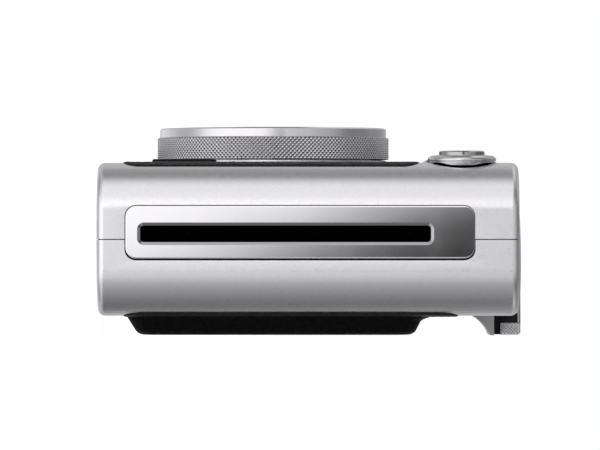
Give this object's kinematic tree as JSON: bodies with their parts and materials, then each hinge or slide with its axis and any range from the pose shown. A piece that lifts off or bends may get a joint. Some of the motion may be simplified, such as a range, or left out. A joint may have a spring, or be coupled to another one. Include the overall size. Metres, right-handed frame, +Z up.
{
  "type": "instant camera",
  "caption": "Retro instant camera with an end film exit, knurled lens dial, print lever, rear film door with screen and keys, and a driven roller pair.",
  "frame": {"origin": "centre of the tripod socket's mouth, on the bottom face", "axes": "+Z up, -Y the lens side, +X the film exit end"},
  "size_m": [0.1284, 0.0456, 0.0915],
  "materials": {
    "silver_shell": "satin metallic silver paint with a fine sparkle",
    "leatherette": "black pebbled leather-look skin",
    "exit_chrome": "polished satin chrome",
    "satin_alloy": "satin anodised, knurled where it is turned",
    "black_plastic": "fine matt moulded black",
    "key_plastic": "satin moulded dark grey",
    "port_plastic": "satin silver paint",
    "felt": "black felt",
    "lens_glass": "coated optical glass",
    "flash_lens": "clear ribbed plastic",
    "mirror_coat": "bright reflective coating",
    "steel": "brushed steel",
    "brass": "turned brass",
    "circuit_board": "green lacquered circuit board",
    "film_stock": "glossy coated film sheets",
    "gear_nylon": "natural nylon",
    "battery_wrap": "blue film wrap",
    "screen_cover": "smoked clear cover",
    "screen_cell": "dark display cell"
  },
  "bodies": {
    "camera_body": {"front_cover": "silver_shell", "rear_cover": "silver_shell", "top_plate": "silver_shell", "front_leatherette": "leatherette", "exit_bezel": "exit_chrome", "lens_base_ring": "satin_alloy", "front_button_collar": "satin_alloy", "top_button_collar": "satin_alloy", "lens_barrel": "black_plastic", "power_switch_frame": "black_plastic", "lever_base": "black_plastic", "chassis": "black_plastic", "print_head": "black_plastic", "film_pack": "black_plastic", "exit_light_seal": "felt", "lens_window": "lens_glass", "lens_elements": "lens_glass", "flash_window": "flash_lens", "selfie_mirror": "mirror_coat", "flash_reflector": "mirror_coat", "lever_screw": "steel", "accessory_shoe": "steel", "strap_eyelet": "steel", "cover_screws": "steel", "hinge_pin": "steel", "motor": "steel", "port_block": "steel", "tripod_socket": "brass", "sensor_board": "circuit_board", "main_board": "circuit_board", "film_sheets": "film_stock", "battery": "battery_wrap"},
    "lens_dial": {"lens_dial": "satin_alloy", "lens_dial_cap": "satin_alloy"},
    "film_dial": {"film_dial": "satin_alloy"},
    "print_lever": {"print_lever": "satin_alloy", "lever_hub": "black_plastic"},
    "top_shutter_button": {"top_shutter_button": "satin_alloy"},
    "front_shutter_button": {"front_shutter_button": "satin_alloy"},
    "power_slider": {"power_slider": "black_plastic"},
    "film_door": {"film_door": "black_plastic", "door_housing": "leatherette", "screen_glass": "screen_cover", "screen_panel": "screen_cell", "door_board": "circuit_board"},
    "door_latch": {"door_latch": "black_plastic"},
    "four_way_pad": {"four_way_pad": "key_plastic"},
    "ok_key": {"ok_key": "key_plastic"},
    "play_key": {"play_key": "key_plastic"},
    "back_key": {"back_key": "key_plastic"},
    "delete_key": {"delete_key": "key_plastic"},
    "rear_roller": {"rear_roller": "steel", "rear_roller_gear": "gear_nylon"},
    "front_roller": {"front_roller": "steel", "front_roller_gear": "gear_nylon"},
    "idler": {"idler_gear": "gear_nylon"},
    "reduction": {"reduction_gear": "gear_nylon"},
    "motor_shaft": {"motor_pinion": "brass"},
    "pick_claw": {"pick_claw": "steel"},
    "port_cover": {"port_cover": "port_plastic"}
  },
  "joints": [
    {"name": "lens_dial_turn", "type": "hinge", "parent": "camera_body", "child": "lens_dial", "pos_m": [0, -0.0115, 0.036], "axis": [0, -1, 0], "continuous": true},
    {"name": "film_dial_turn", "type": "hinge", "parent": "camera_body", "child": "film_dial", "pos_m": [0.028, 0.0124, 0.085], "axis": [0, 0, 1], "continuous": true},
    {"name": "print_lever_swing", "type": "hinge", "parent": "camera_body", "child": "print_lever", "pos_m": [-0.04655, 0.0095, 0.089], "axis": [0, 0, 1], "range_deg": [0, 45], "stiffness_Nm_per_rad": 0.02},
    {"name": "top_shutter_press", "type": "slide", "parent": "camera_body", "child": "top_shutter_button", "axis": [0, 0, -1], "range_m": [0, 0.001], "stiffness_N_per_m": 400},
    {"name": "front_shutter_press", "type": "slide", "parent": "camera_body", "child": "front_shutter_button", "axis": [0, 1, 0], "range_m": [0, 0.001], "stiffness_N_per_m": 400},
    {"name": "power_slide", "type": "slide", "parent": "camera_body", "child": "power_slider", "axis": [0, 0, 1], "range_m": [0, 0.003]},
    {"name": "film_door_swing", "type": "hinge", "parent": "camera_body", "child": "film_door", "pos_m": [-0.0568, 0.023, 0.0389], "axis": [0, 0, 1], "range_deg": [0, 100]},
    {"name": "door_latch_slide", "type": "slide", "parent": "camera_body", "child": "door_latch", "axis": [1, 0, 0], "range_m": [0, 0.003], "stiffness_N_per_m": 150},
    {"name": "four_way_press", "type": "slide", "parent": "film_door", "child": "four_way_pad", "axis": [0, -1, 0], "range_m": [0, 0.0003], "stiffness_N_per_m": 600},
    {"name": "ok_press", "type": "slide", "parent": "film_door", "child": "ok_key", "axis": [0, -1, 0], "range_m": [0, 0.0003], "stiffness_N_per_m": 600},
    {"name": "play_press", "type": "slide", "parent": "film_door", "child": "play_key", "axis": [0, -1, 0], "range_m": [0, 0.0003], "stiffness_N_per_m": 600},
    {"name": "back_press", "type": "slide", "parent": "film_door", "child": "back_key", "axis": [0, -1, 0], "range_m": [0, 0.0003], "stiffness_N_per_m": 600},
    {"name": "delete_press", "type": "slide", "parent": "film_door", "child": "delete_key", "axis": [0, -1, 0], "range_m": [0, 0.0003], "stiffness_N_per_m": 600},
    {"name": "rear_roller_spin", "type": "hinge", "parent": "camera_body", "child": "rear_roller", "pos_m": [0.05, 0.01045, 0.0389], "axis": [0, 0, 1], "continuous": true},
    {"name": "front_roller_spin", "type": "hinge", "parent": "camera_body", "child": "front_roller", "pos_m": [0.05, 0.00245, 0.0389], "axis": [0, 0, 1], "continuous": true},
    {"name": "idler_spin", "type": "hinge", "parent": "camera_body", "child": "idler", "pos_m": [0.0402, 0.01244, 0.0728], "axis": [0, 0, 1], "continuous": true},
    {"name": "reduction_spin", "type": "hinge", "parent": "camera_body", "child": "reduction", "pos_m": [0.0322, 0.00832, 0.0738], "axis": [0, 0, 1], "continuous": true},
    {"name": "motor_spin", "type": "hinge", "parent": "camera_body", "child": "motor_shaft", "pos_m": [0.027, -0.0008, 0.075], "axis": [0, 0, 1], "continuous": true},
    {"name": "pick_claw_slide", "type": "slide", "parent": "camera_body", "child": "pick_claw", "axis": [1, 0, 0], "range_m": [0, 0.0045]},
    {"name": "port_cover_swing", "type": "hinge", "parent": "camera_body", "child": "port_cover", "pos_m": [-0.06085, 0.00395, 0.0309], "axis": [0, 0, 1], "range_deg": [0, 100]}
  ],
  "couplings": [
    {"joint": "front_roller_spin", "follows": "rear_roller_spin", "ratio": -1},
    {"joint": "idler_spin", "follows": "rear_roller_spin", "ratio": -0.66667},
    {"joint": "reduction_spin", "follows": "rear_roller_spin", "ratio": 1.3333},
    {"joint": "motor_spin", "follows": "rear_roller_spin", "ratio": -3.3333}
  ]
}
